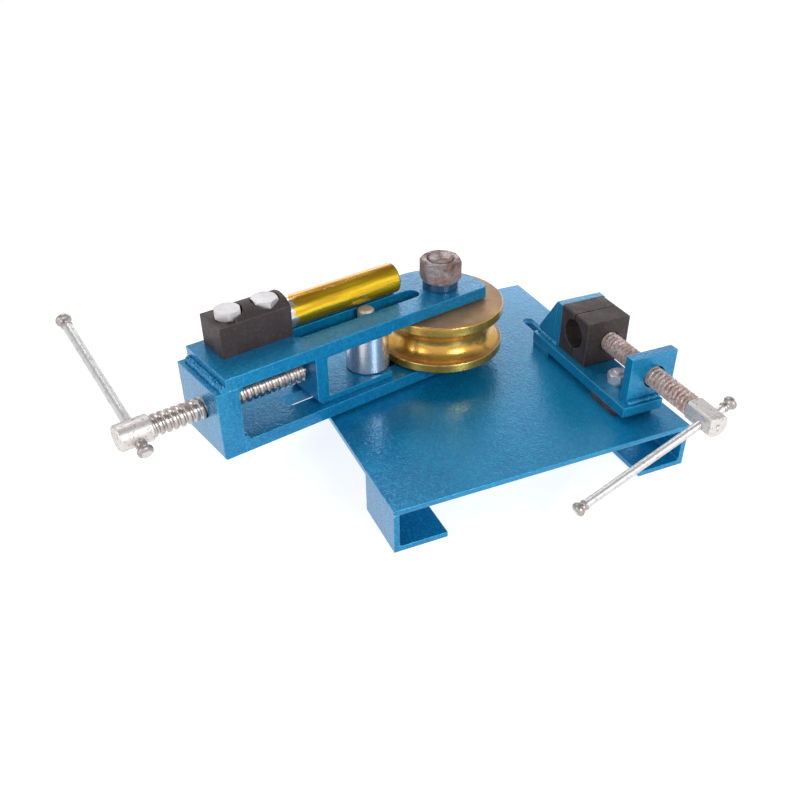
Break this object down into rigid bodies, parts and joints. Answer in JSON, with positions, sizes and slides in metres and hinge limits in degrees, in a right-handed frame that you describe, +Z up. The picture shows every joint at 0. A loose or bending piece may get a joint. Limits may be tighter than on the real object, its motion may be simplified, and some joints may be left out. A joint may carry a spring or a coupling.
{
  "type": "manual tube bender",
  "caption": "Hand-operated rotary-draw tube bender: plate base on angle feet, swing arm with screw-fed roller, grooved brass die, and a screw vise that clamps the tube.",
  "frame": {"origin": "centre of the bounding box on the surface that the feet stand on", "axes": "+X right along the front edge of the base plate, +Y to the back, +Z up"},
  "size_m": [0.5168, 0.374, 0.163],
  "materials": {
    "blue_hammertone": "glossy blue hammertone enamel",
    "rusty_steel": "bare steel with a brown rust bloom",
    "plain_steel": "turned bare steel",
    "zinc_plate": "bright zinc plating",
    "gold_film": "gold transparent film over bright steel",
    "black_oxide": "black oxide, brownish, satin",
    "brass": "turned brass, polished groove, browned flanges"
  },
  "bodies": {
    "base": {"base_plate": "blue_hammertone", "foot_front_left": "blue_hammertone", "foot_front_right": "blue_hammertone", "foot_back_left": "blue_hammertone", "foot_back_right": "blue_hammertone", "foot_welds": "blue_hammertone", "pivot_stud": "rusty_steel", "base_thrust_washer": "plain_steel", "pivot_spacer": "blue_hammertone", "pivot_nut": "rusty_steel"},
    "arm": {"arm_top_bar": "blue_hammertone", "arm_bottom_bar": "blue_hammertone", "arm_end_block": "blue_hammertone", "arm_welds": "blue_hammertone", "lower_die_washer": "plain_steel", "upper_die_washer": "plain_steel", "handle_block": "black_oxide", "handle_bolts": "zinc_plate", "handle_socket_tube": "gold_film"},
    "die": {"bending_die": "brass"},
    "carriage": {"carriage_bracket": "blue_hammertone", "roller_pin": "plain_steel", "pin_circlip": "plain_steel"},
    "roller": {"pressure_roller": "plain_steel"},
    "feed_screw": {"lead_screw": "plain_steel", "lead_screw_collar": "plain_steel", "lead_screw_head": "plain_steel"},
    "feed_tommy": {"lead_tommy_bar": "plain_steel", "lead_tommy_knobs": "plain_steel"},
    "vise": {"vise_base_bar": "blue_hammertone", "vise_front_packer": "rusty_steel", "vise_rear_packer": "blue_hammertone", "vise_front_plate": "blue_hammertone", "vise_rear_plate": "blue_hammertone", "vise_gusset": "blue_hammertone", "vise_nut": "blue_hammertone", "vise_welds": "blue_hammertone", "hold_down_bolts": "zinc_plate", "hold_down_washers": "zinc_plate", "hold_down_nuts": "zinc_plate", "clamp_fixed_half": "black_oxide"},
    "jaw": {"clamp_moving_half": "black_oxide"},
    "jaw_screw": {"vise_screw": "rusty_steel", "vise_screw_head": "plain_steel"},
    "jaw_tommy": {"vise_tommy_bar": "plain_steel", "vise_tommy_knobs": "plain_steel"}
  },
  "joints": [
    {"name": "arm_swing", "type": "hinge", "parent": "base", "child": "arm", "pos_m": [0.094, 0.075, 0.05], "axis": [0, 0, 1], "range_deg": [-118, 75]},
    {"name": "die_turn", "type": "hinge", "parent": "base", "child": "die", "pos_m": [0.094, 0.075, 0.087], "axis": [0, 0, 1], "continuous": true},
    {"name": "carriage_feed", "type": "slide", "parent": "arm", "child": "carriage", "axis": [-0.9736, -0.2284, 0], "range_m": [-0.003, 0.068]},
    {"name": "roller_turn", "type": "hinge", "parent": "carriage", "child": "roller", "pos_m": [0.00813, 0.05794, 0.087], "axis": [0, 0, 1], "continuous": true},
    {"name": "feed_screw_turn", "type": "hinge", "parent": "carriage", "child": "feed_screw", "pos_m": [-0.1014, 0.03225, 0.087], "axis": [-0.9736, -0.2284, 0], "range_deg": [-175, 3860]},
    {"name": "feed_tommy_slide", "type": "slide", "parent": "feed_screw", "child": "feed_tommy", "axis": [-0.2132, 0.9089, 0.3584], "range_m": [-0.117, 0]},
    {"name": "vise_slide", "type": "slide", "parent": "base", "child": "vise", "axis": [0, 1, 0], "range_m": [-0.015, 0.03]},
    {"name": "jaw_slide", "type": "slide", "parent": "vise", "child": "jaw", "axis": [0, -1, 0], "range_m": [-0.0016, 0.024]},
    {"name": "jaw_screw_turn", "type": "hinge", "parent": "jaw", "child": "jaw_screw", "pos_m": [0.231, -0.07, 0.0835], "axis": [0, -1, 0], "range_deg": [-120, 1735]},
    {"name": "jaw_tommy_slide", "type": "slide", "parent": "jaw_screw", "child": "jaw_tommy", "axis": [0.9048, 0, 0.4258], "range_m": [-0.004, 0.117]}
  ],
  "couplings": [
    {"joint": "feed_screw_turn", "follows": "carriage_feed", "rad_per_m": 989.48},
    {"joint": "jaw_screw_turn", "follows": "jaw_slide", "rad_per_m": 1256.6}
  ]
}
